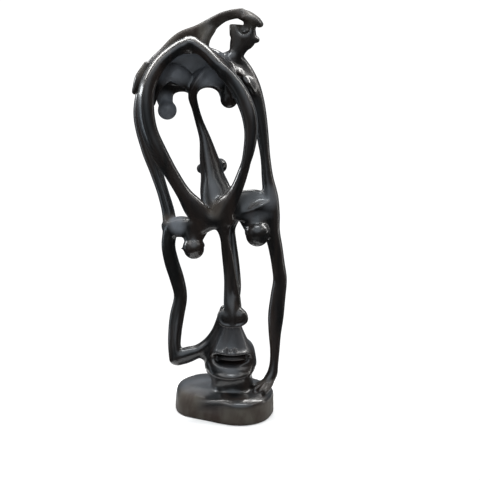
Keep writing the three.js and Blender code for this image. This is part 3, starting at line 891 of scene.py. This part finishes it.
@dataclass
class Surface:
    """A closed mesh whose points are moved by hand-like strokes.

    One stroke takes a point the share blend towards its neighbours, and fills a corner by the
    share fill_pull of its depth. The outward directions are read anew after each fill_run.
    """

    mesh: Mesh
    blend: float = 0.5
    blend_back: float = -0.52
    fill_pull: float = 0.7
    fill_fade: float = 3.0
    fill_run: int = 4
    zone_edge: float = 2.0
    points: np.ndarray = field(init=False)
    ends: np.ndarray = field(init=False)
    others: np.ndarray = field(init=False)
    degree: np.ndarray = field(init=False)

    def __post_init__(self) -> None:
        """Reads the mesh's points and its edges both ways round."""
        count = len(self.mesh.vertices)
        points = np.zeros(count * 3, np.float32)
        self.mesh.vertices.foreach_get("co", points)
        self.points = points.reshape(-1, 3).astype(float)
        edges = np.zeros(len(self.mesh.edges) * 2, np.int32)
        self.mesh.edges.foreach_get("vertices", edges)
        edges = edges.reshape(-1, 2)
        self.ends = np.concatenate([edges[:, 0], edges[:, 1]])
        self.others = np.concatenate([edges[:, 1], edges[:, 0]])
        self.degree = np.maximum(np.bincount(self.ends, minlength=count), 1)

    def mean(self, values: np.ndarray) -> np.ndarray:
        """Averages the neighbours' values at each point.

        Args:
            values: One number or one row for each point.

        Returns:
            The means, in the same order.
        """
        count = len(self.points)
        if values.ndim == 1:
            return np.bincount(self.ends, values[self.others], minlength=count) / self.degree
        return np.stack([self.mean(column) for column in values.T], axis=1)

    def normals(self) -> np.ndarray:
        """Reads the outward directions at the points as they are now.

        Returns:
            One direction for each point.
        """
        self.store()
        normals = np.zeros(len(self.points) * 3, np.float32)
        self.mesh.vertex_normals.foreach_get("vector", normals)
        return normals.reshape(-1, 3).astype(float)

    def store(self) -> None:
        """Writes the points back to the mesh."""
        self.mesh.vertices.foreach_set("co", self.points.astype(np.float32).ravel())
        self.mesh.update()

    def fill(self, rounds: int, kept: tuple[tuple[Point, float], ...]) -> None:
        """Rounds out inner corners, as a gouge leaves them, and leaves outer edges alone.

        Args:
            rounds: How many times the surface is gone over.
            kept: Balls, as centre and radius, where the corners stay sharp.
        """
        weight = np.ones(len(self.points))
        for centre, radius in kept:
            away = np.linalg.norm(self.points - np.array(centre), axis=1)
            weight *= np.clip((away - radius) / self.fill_fade, 0, 1)
        for turn in range(rounds):
            if turn % self.fill_run == 0:
                normals = self.normals()
            rise = ((self.mean(self.points) - self.points) * normals).sum(axis=1)
            push = self.fill_pull * np.maximum(rise, 0) * weight
            self.points += push[:, None] * normals
        self.store()

    def smooth(self, rounds: int) -> None:
        """Takes the small roughness off without shrinking the limbs.

        Args:
            rounds: How many pairs of passes are made, one there and one back.
        """
        for _ in range(rounds):
            for step in (self.blend, self.blend_back):
                self.points += step * (self.mean(self.points) - self.points)
        self.store()

    def wave(self, depth: float, scale: float) -> None:
        """Gives the surface the slight unevenness of handwork.

        Args:
            depth: How far a point may move.
            scale: How long the waves are.
        """
        normals = self.normals()
        moves = np.array([noise.noise(Vector(p / scale)) for p in self.points])
        self.points += (depth * moves)[:, None] * normals
        self.store()

    def even_normals(self, rounds: int) -> None:
        """Evens out the shading, so that reflections run smoothly over the facets.

        Args:
            rounds: How many times each direction is blended with its neighbours'.
        """
        normals = self.normals()
        for _ in range(rounds):
            normals += self.blend * (self.mean(normals) - normals)
        normals /= np.linalg.norm(normals, axis=1)[:, None]
        self.mesh.normals_split_custom_set_from_vertices(normals)

    def edges_felt(self, rounds: int) -> np.ndarray:
        """How much each point stands out from its surroundings.

        Args:
            rounds: How wide the surroundings are, in passes.

        Returns:
            Millimetres, positive on ridges and negative in hollows.
        """
        kept = self.points.copy()
        for _ in range(rounds):
            self.points += self.blend * (self.mean(self.points) - self.points)
        away = kept - self.points
        self.points = kept
        return (away * self.normals()).sum(axis=1)

    def zones(self, zones: tuple[tuple[Point, Point, float], ...]) -> np.ndarray:
        """How far each point lies within any of several soft-edged egg-shaped zones.

        Args:
            zones: Each zone's centre, half sizes and share at its middle.

        Returns:
            The shares, 0 outside.
        """
        shares = np.zeros(len(self.points))
        for centre, reach, share in zones:
            away = np.linalg.norm((self.points - np.array(centre)) / np.array(reach), axis=1)
            shares = np.maximum(shares, share * np.clip(self.zone_edge * (1 - away), 0, 1))
        return shares

    def write(self, name: str, values: np.ndarray) -> None:
        """Keeps one number for each point as a mesh attribute."""
        layer = self.mesh.attributes.new(name, "FLOAT", "POINT")
        layer.data.foreach_set("value", values.astype(np.float32))


# Finishes


def plug(tree: NodeTree, node: Node, inputs: dict[str | int, object]) -> Node:
    """Fills a node's sockets.

    Args:
        tree: The nodes it belongs to.
        node: The node.
        inputs: Values, or sockets to link, by the name or number of its own socket.

    Returns:
        The same node.
    """
    for key, value in inputs.items():
        if isinstance(value, NodeSocket):
            tree.links.new(value, node.inputs[key])
        else:
            node.inputs[key].default_value = value
    return node


def add_node(
    tree: NodeTree, kind: str, inputs: dict[str | int, object] | None = None, **settings: object
) -> Node:
    """Adds a node.

    Args:
        tree: The nodes it joins.
        kind: Its type.
        inputs: What goes into its sockets.
        settings: Its own settings by name.

    Returns:
        The node.
    """
    node = tree.nodes.new(kind)
    for name, value in settings.items():
        setattr(node, name, value)
    return plug(tree, node, inputs or {})


def add_sum(tree: NodeTree, kind: str, *values: float | NodeSocket) -> NodeSocket:
    """Adds a sum of numbers, or of the sockets that give them."""
    return add_node(tree, "ShaderNodeMath", dict(enumerate(values)), operation=kind).outputs[0]


@dataclass(frozen=True)
class Fine:
    """A bump too fine to carve: its strength and its height in metres."""

    strength: float
    height: float

    def build(self, tree: NodeTree, relief: NodeSocket) -> NodeSocket:
        """Adds the bump.

        Args:
            tree: The material's nodes.
            relief: The socket that gives the relief.

        Returns:
            The socket that gives the direction.
        """
        inputs = {"Strength": self.strength, "Distance": self.height, "Height": relief}
        return add_node(tree, "ShaderNodeBump", inputs).outputs["Normal"]


@dataclass(frozen=True)
class Grain:
    """One layer of the wood's figure, drawn out along the block's height."""

    scale: float
    stretch: float
    detail: float
    distortion: float = 0.4

    def build(self, tree: NodeTree, place: NodeSocket) -> NodeSocket:
        """Adds the layer.

        Args:
            tree: The material's nodes.
            place: The socket that gives the place on the object.

        Returns:
            The socket that gives its value.
        """
        stretched = add_node(
            tree, "ShaderNodeMapping", {"Vector": place, "Scale": (1, 1, self.stretch)}
        )
        sizes = {"Scale": self.scale, "Detail": self.detail, "Distortion": self.distortion}
        vector = {"Vector": stretched.outputs["Vector"]}
        return add_node(tree, "ShaderNodeTexNoise", vector | sizes).outputs["Fac"]


@dataclass(frozen=True)
class Blackwood:
    """Polished blackwood: near black, with brown streaks along the grain, and a bluish sheen
    painted into the colour in marked places.
    """

    name: str = "blackwood"
    dark: Point = (0.0016, 0.0018, 0.0020)
    brown: Point = (0.013, 0.0082, 0.0062)
    streak_range: tuple[float, float] = (0.42, 0.74)
    sawn: tuple[Point, Point] = ((0.018, 0.011, 0.008), (0.042, 0.037, 0.030))
    sawn_range: tuple[float, float] = (0.38, 0.66)
    # Bluish grey laid on where the wood faces the soft light: a painted sheen, not a colour of the
    # wood. Those places are also rougher and less coated.
    painted_sheen: Point = (0.078, 0.086, 0.098)
    painted_sheen_dullness: float = 0.4
    streaks: Grain = Grain(scale=70.0, stretch=0.09, detail=4.0)
    fibres: Grain = Grain(scale=700.0, stretch=0.1, detail=3.0)
    patches: Grain = Grain(scale=60.0, stretch=0.5, detail=3.0)
    pores: Fine = Fine(strength=0.15, height=0.00005)
    polish: float = 0.32
    raw_polish: float = 0.62
    fibre_polish: float = 0.06
    shine: float = 0.5
    raw_shine: float = -0.3
    bend: float = 1.46
    coat: float = 0.5
    coat_polish: float = 0.12

    def build(self) -> Material:
        """Builds the wood.

        Returns:
            The material.
        """
        material = bpy.data.materials.new(self.name)
        material.use_nodes = True
        tree = material.node_tree
        place = add_node(tree, "ShaderNodeTexCoord").outputs["Object"]
        layers = (self.streaks, self.fibres, self.patches)
        streaks, fibres, patches = (layer.build(tree, place) for layer in layers)
        raw, painted_sheen, worn = (
            add_node(tree, "ShaderNodeAttribute", attribute_name=name).outputs["Fac"]
            for name in ("raw", "painted_sheen", "worn")
        )

        wood = self.ramp(tree, streaks, self.streak_range, (self.dark, self.brown))
        sawn = self.ramp(tree, patches, self.sawn_range, self.sawn)
        # Painted sheen: the bluish grey is laid over the wood's colour where the mark says, broken
        # up by the patches.
        painted_sheen_share = add_sum(tree, "MULTIPLY", painted_sheen, patches)
        colour = self.mixed(tree, raw, wood, sawn)
        colour = self.mixed(tree, painted_sheen_share, colour, (*self.painted_sheen, 1))
        colour = self.mixed(tree, worn, colour, (*self.brown, 1))

        dull = add_sum(tree, "MULTIPLY", painted_sheen, self.painted_sheen_dullness)
        dull = add_sum(tree, "MAXIMUM", dull, raw)
        ends = {"Value": dull, "To Min": self.polish, "To Max": self.raw_polish}
        rough = add_node(tree, "ShaderNodeMapRange", ends).outputs["Result"]
        waxed = add_sum(tree, "SUBTRACT", 1.0, dull)
        plug(tree, tree.nodes["Principled BSDF"], {
            "Base Color": colour,
            "Roughness": add_sum(tree, "MULTIPLY_ADD", fibres, self.fibre_polish, rough),
            "Specular IOR Level": add_sum(tree, "MULTIPLY_ADD", raw, self.raw_shine, self.shine),
            "Normal": self.pores.build(tree, fibres),
            "IOR": self.bend,
            "Coat Weight": add_sum(tree, "MULTIPLY", waxed, self.coat),
            "Coat Roughness": self.coat_polish,
        })
        return material

    def ramp(
        self, tree: NodeTree, value: NodeSocket, stops: tuple[float, float],
        colours: tuple[Point, Point],
    ) -> NodeSocket:
        """Turns a noise into a run between two colours.

        Args:
            tree: The material's nodes.
            value: The socket that gives the noise.
            stops: The values where the run begins and ends.
            colours: The colours there.

        Returns:
            The socket that gives the colour.
        """
        node = add_node(tree, "ShaderNodeValToRGB", {"Fac": value})
        for element, stop, colour in zip(node.color_ramp.elements, stops, colours):
            element.position = stop
            element.color = (*colour, 1)
        return node.outputs["Color"]

    def mixed(
        self, tree: NodeTree, share: NodeSocket, below: NodeSocket, above: object
    ) -> NodeSocket:
        """Lays one colour over another.

        Args:
            tree: The material's nodes.
            share: How much of the upper colour shows.
            below: The lower colour.
            above: The upper colour, or the socket that gives it.

        Returns:
            The socket that gives the mixture.
        """
        inputs = {"Factor": share, "A": below, "B": above}
        return add_node(tree, "ShaderNodeMix", inputs, data_type="RGBA").outputs["Result"]


@dataclass(frozen=True)
class PaleFloor:
    """Matt white board with the faintest unevenness."""

    name: str = "pale_floor"
    colour: Point = (0.55, 0.55, 0.55)
    roughness: float = 0.9
    shine: float = 0.1
    tooth_scale: float = 400.0
    tooth: Fine = Fine(strength=0.05, height=0.0002)

    def build(self) -> Material:
        """Builds the board's surface.

        Returns:
            The material.
        """
        material = bpy.data.materials.new(self.name)
        material.use_nodes = True
        tree = material.node_tree
        place = add_node(tree, "ShaderNodeTexCoord").outputs["Object"]
        grit = add_node(tree, "ShaderNodeTexNoise", {"Vector": place, "Scale": self.tooth_scale})
        plug(tree, tree.nodes["Principled BSDF"], {
            "Base Color": (*self.colour, 1),
            "Roughness": self.roughness,
            "Specular IOR Level": self.shine,
            "Normal": self.tooth.build(tree, grit.outputs["Fac"]),
        })
        return material


# The whole carving


@dataclass
class Carving:
    """The whole figure, from the joined blank to the polished piece."""

    name: str = "spirit_carving"
    node: str = "shetani_carving"
    parts: tuple[Part, ...] = field(
        default_factory=lambda: (
            Base(), LowerHead(), NoseTip(), Bud(), UpperFace(), LowerBrow(), Loop(), Arms()
        )
    )
    blank_voxel: float = 0.95
    final_voxel: float = 0.75
    triangles: int = 192000
    fill_rounds: int = 80
    blank_smoothing: int = 3
    detail_fill: int = 4
    detail_smoothing: int = 9
    last_smoothing: int = 2
    shading_rounds: int = 10
    felt_rounds: int = 12
    wave_depth: float = 0.08
    wave_length: float = 14.0
    side_tilt: float = 0.35
    side_contrast: float = 3.0
    side_top: float = 24.0
    side_fade: float = 3.0
    worn_height: float = 0.6
    worn_start: float = 0.3
    worn_share: float = 0.5
    crisp: tuple[tuple[Point, float], ...] = (
        ((6.8, -22, 57), 17.0), ((8.5, -34, 104), 9.0)
    )
    spare: float = 0.3
    rough: tuple[tuple[Point, Point, float], ...] = (
        ((-36, 16, 374), (40, 24, 26), 0.9), ((12, 8, 392), (40, 24, 18), 0.6),
        ((20, 5, 376), (18, 16, 20), 0.15), ((-8, -26, 212), (13, 10, 12), 0.9),
        ((-43, -10, 199), (24, 16, 8), 1.0), ((-76, 4, 334), (9, 12, 22), 0.9),
        ((41, -15, 31), (14, 16, 9), 0.6), ((-36, -14, 12), (22, 26, 26), 1.0),
    )
    # Zones where a bluish sheen is painted into the colour and the polish is dulled: brows,
    # forehead, eyes, brow, shoulder, jaw, base top, muzzle and nose.
    painted_sheen: tuple[tuple[Point, Point, float], ...] = (
        ((-48, 0, 339), (26, 18, 13), 1.35), ((-14, 0, 336), (20, 18, 14), 1.95),
        ((-28, 4, 352), (40, 16, 14), 1.9), ((-56, 9, 306), (14, 16, 18), 1.95),
        ((-44, -16, 196), (12, 14, 12), 1.9), ((44, -6, 220), (13, 14, 15), 0.75),
        ((34, -10, 203), (18, 12, 6), 0.5),
        ((7, -28, 53), (24, 14, 5), 0.35), ((-24, 4, 26), (28, 30, 8), 0.8),
        ((8, -26, 80), (32, 20, 24), 0.6), ((-10, -20, 232), (8, 14, 18), 0.4),
    )

    def joined(self, pieces: list[BMesh], voxel: float, whole: BMesh | None = None) -> Surface:
        """Melts closed shapes into one skin.

        Args:
            pieces: The shapes; they are freed.
            voxel: How fine the skin is.
            whole: A shape that they are added to; it is freed too.

        Returns:
            The skin.
        """
        if whole is None:
            whole = bmesh.new()
        for piece in pieces:
            join(whole, piece)
        mesh = bpy.data.meshes.new("joined")
        whole.to_mesh(mesh)
        whole.free()
        return Surface(baked(mesh, "REMESH", mode="VOXEL", voxel_size=voxel, adaptivity=0.0))

    def blank(self) -> Mesh:
        """Joins the big forms and rounds out the corners where they meet.

        Returns:
            The blank's mesh.
        """
        forms = []
        for part in self.parts:
            made = part.forms()
            LOG.info("%s: %d forms", type(part).__name__, len(made))
            forms += made
        surface = self.joined(forms, self.blank_voxel)
        surface.fill(self.fill_rounds, self.crisp)
        surface.smooth(self.blank_smoothing)
        LOG.info("blank: %d points", len(surface.points))
        return surface.mesh

    def detailed(self, mesh: Mesh) -> Mesh:
        """Cuts and raises the details.

        Args:
            mesh: The blank.

        Returns:
            The carved mesh.
        """
        carved = bmesh.new()
        absorb(carved, mesh)
        raised = []
        for part in self.parts:
            for tool in part.cuts():
                cut(carved, tool, Solver.MANIFOLD)
            raised += part.raised()
        surface = self.joined(raised, self.final_voxel, carved)
        surface.fill(self.detail_fill, ())
        surface.smooth(self.detail_smoothing)
        surface.points += self.spare * surface.normals()
        surface.wave(self.wave_depth, self.wave_length)
        LOG.info("carved: %d points", len(surface.points))
        return surface.mesh

    def thinned(self, mesh: Mesh) -> Mesh:
        """Brings a mesh under the number of triangles.

        Args:
            mesh: The mesh to change; it is removed.

        Returns:
            The thinner mesh.
        """
        mesh = baked(mesh, "TRIANGULATE")
        ratio = min(1.0, self.triangles / len(mesh.polygons))
        return baked(mesh, "DECIMATE", decimate_type="COLLAPSE", ratio=ratio)

    def marked(self, surface: Surface) -> None:
        """Marks where the wood is raw and worn, and where a bluish sheen is painted.

        Args:
            surface: The surface that takes the marks.
        """
        felt = surface.edges_felt(self.felt_rounds)
        height = surface.points[:, 2]
        upright = (self.side_tilt - surface.normals()[:, 2]) * self.side_contrast
        low = (self.side_top - height) / self.side_fade
        sawn = np.clip(upright, 0, 1) * np.clip(low, 0, 1)
        surface.write("raw", np.maximum(sawn, surface.zones(self.rough)))
        # The share of painted sheen at each point, which also dulls the polish there.
        surface.write("painted_sheen", surface.zones(self.painted_sheen))
        worn = np.clip(felt / self.worn_height - self.worn_start, 0, 1)
        surface.write("worn", worn * self.worn_share)

    def build(self) -> Object:
        """Builds, dresses and places the figure.

        Returns:
            The finished object.
        """
        surface = Surface(self.thinned(self.detailed(self.blank())))
        surface.smooth(self.last_smoothing)
        surface.points[:, 2] = np.maximum(surface.points[:, 2], 0.0)
        self.marked(surface)
        mesh = surface.mesh
        mesh.shade_smooth()
        surface.even_normals(self.shading_rounds)
        mesh.transform(Matrix.Scale(METRES, 4))
        piece = placed(self.name, mesh)
        mesh.materials.clear()
        mesh.materials.append(Blackwood().build())
        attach(piece, "root")
        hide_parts(self.node)
        LOG.info("%s: %d triangles", self.name, len(mesh.polygons))
        return piece


# The studio


@dataclass(frozen=True)
class Softbox:
    """One soft light: where it is, what it looks at, its sizes, power and colour."""

    name: str
    place: Point
    target: Point
    size: tuple[float, float]
    power: float
    colour: Point

    def build(self) -> None:
        """Hangs the light."""
        data = bpy.data.lights.new(self.name, "AREA")
        data.shape = "RECTANGLE"
        data.size, data.size_y = self.size
        data.energy = self.power
        data.color = self.colour
        lamp = placed(self.name, data)
        lamp.location = self.place
        aim = Vector(self.target) - Vector(self.place)
        lamp.rotation_euler = aim.to_track_quat("-Z", "Y").to_euler()


@dataclass(frozen=True)
class Glow:
    """A soft brightness of the surroundings: where it is brightest, its spread and strengths."""

    towards: Point
    starts: float
    least: float
    most: float

    def build(self, tree: NodeTree, direction: NodeSocket) -> NodeSocket:
        """Adds the glow.

        Args:
            tree: The world's nodes.
            direction: The socket that gives the direction that is looked in.

        Returns:
            The socket that gives the strength.
        """
        facing = add_node(
            tree, "ShaderNodeVectorMath", {0: direction, 1: self.towards}, operation="DOT_PRODUCT"
        )
        span = {"From Min": self.starts, "To Min": self.least, "To Max": self.most}
        value = {"Value": facing.outputs["Value"]}
        ranged = add_node(
            tree, "ShaderNodeMapRange", value | span, interpolation_type="SMOOTHSTEP"
        )
        return ranged.outputs["Result"]


@dataclass
class Studio:
    """A white table with soft light from above, the front and both sides, and the camera."""

    camera_place: Point = (0.0156, -1.110, 0.4046)
    camera_pitch: float = 11.6
    lens: float = 86.3
    sensor: float = 36.0
    nearest: float = 0.05
    floor_radius: float = 0.12
    floor_sides: int = 96
    backdrop: tuple[Point, float] = ((1, 1, 1), 1.1)
    room: tuple[Point, float] = ((0.96, 0.98, 1), 1.15)
    gloss: Point = (0.82, 0.91, 1)
    behind: Glow = Glow(towards=(0, 0.75, 0.66), starts=0.05, least=0.004, most=0.3)
    ahead: Glow = Glow(towards=(0, -0.72, 0.69), starts=0.7, least=0.0, most=1.5)
    lights: tuple[Softbox, ...] = (
        Softbox("overhead", (0, 0.32, 1.08), (0, 0, 0.3), (3.2, 0.15), 38.0, (1, 0.99, 0.97)),
        Softbox("key", (-0.62, -0.36, 0.92), (-0.01, 0, 0.22), (0.5, 0.4), 2.0, (1, 1, 1)),
        Softbox("lid", (0.03, -0.27, 1.05), (0, 0, 0.1), (0.5, 0.12), 3.2, (0.93, 0.97, 1)),
        Softbox("front", (0, -1.0, 1.05), (0, 0, 0.2), (1.8, 0.8), 1.0, (0.8, 0.9, 1)),
        Softbox("lamp", (0.7, -0.4, 0.93), (0, 0, 0.3), (0.4, 0.4), 1.2, (1, 0.99, 0.97)),
        Softbox("fill", (-0.78, -0.64, 0.35), (-0.01, 0, 0.2), (0.3, 0.9), 0.4, (0.86, 0.93, 1)),
        Softbox("window", (-0.95, 0.15, 0.22), (-0.01, 0, 0.2), (0.16, 0.64), 0.8, (0.78, 0.89, 1)),
        Softbox("pane", (-0.95, 0.23, 0.53), (-0.01, 0, 0.22), (0.24, 0.16), 2.4, (0.95, 0.98, 1)),
        Softbox("door", (0.85, 0.15, 0.38), (-0.01, 0, 0.2), (0.1, 0.9), 1.3, (1, 0.98, 0.95)),
    )

    def light(self, tree: NodeTree, colour: Point, strength: float | NodeSocket) -> NodeSocket:
        """Adds one light of the surroundings.

        Args:
            tree: The world's nodes.
            colour: Its colour.
            strength: Its strength, or the socket that gives it.

        Returns:
            The socket that gives the light.
        """
        inputs = {"Color": (*colour, 1), "Strength": strength}
        return add_node(tree, "ShaderNodeBackground", inputs).outputs[0]

    def world(self) -> None:
        """Lights the room: white to the camera, plain on matt wood, dim with two glows in gloss."""
        world = bpy.data.worlds.new("studio")
        bpy.context.scene.world = world
        world.use_nodes = True
        tree = world.node_tree
        tree.nodes.clear()
        path = add_node(tree, "ShaderNodeLightPath")
        direction = add_node(tree, "ShaderNodeTexCoord").outputs["Generated"]
        glows = (glow.build(tree, direction) for glow in (self.behind, self.ahead))
        gloss = self.light(tree, self.gloss, add_sum(tree, "ADD", *glows))
        seen = self.light(tree, *self.backdrop)
        room = self.light(tree, *self.room)
        for ray, light in (("Is Glossy Ray", gloss), ("Is Camera Ray", seen)):
            inputs = {"Fac": path.outputs[ray], 1: room, 2: light}
            room = add_node(tree, "ShaderNodeMixShader", inputs).outputs[0]
        add_node(tree, "ShaderNodeOutputWorld", {"Surface": room})

    def floor(self) -> None:
        """Lays the white table top."""
        disc = bmesh.new()
        bmesh.ops.create_circle(
            disc, cap_ends=True, segments=self.floor_sides, radius=self.floor_radius
        )
        mesh = bpy.data.meshes.new("floor")
        disc.to_mesh(mesh)
        disc.free()
        mesh.materials.append(PaleFloor().build())
        placed("floor", mesh)

    def camera(self) -> None:
        """Sets the camera where the photograph was taken from."""
        data = bpy.data.cameras.new("camera")
        data.lens = self.lens
        data.sensor_width = self.sensor
        data.clip_start = self.nearest
        camera = placed("camera", data)
        camera.location = self.camera_place
        camera.rotation_euler = (math.radians(90 - self.camera_pitch), 0, 0)
        bpy.context.scene.camera = camera

    def build(self) -> None:
        """Builds the studio."""
        bpy.context.scene.view_settings.view_transform = "Standard"
        self.camera()
        self.world()
        self.floor()
        for light in self.lights:
            light.build()


def main() -> None:
    """Builds the studio and the carving."""
    logging.basicConfig(level=logging.INFO, format="%(message)s")
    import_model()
    piece = Carving().build()
    Studio().build()
    LOG.info("%s built", piece.name)
    bpy.context.view_layer.update()


if __name__ == "__main__":
    main()
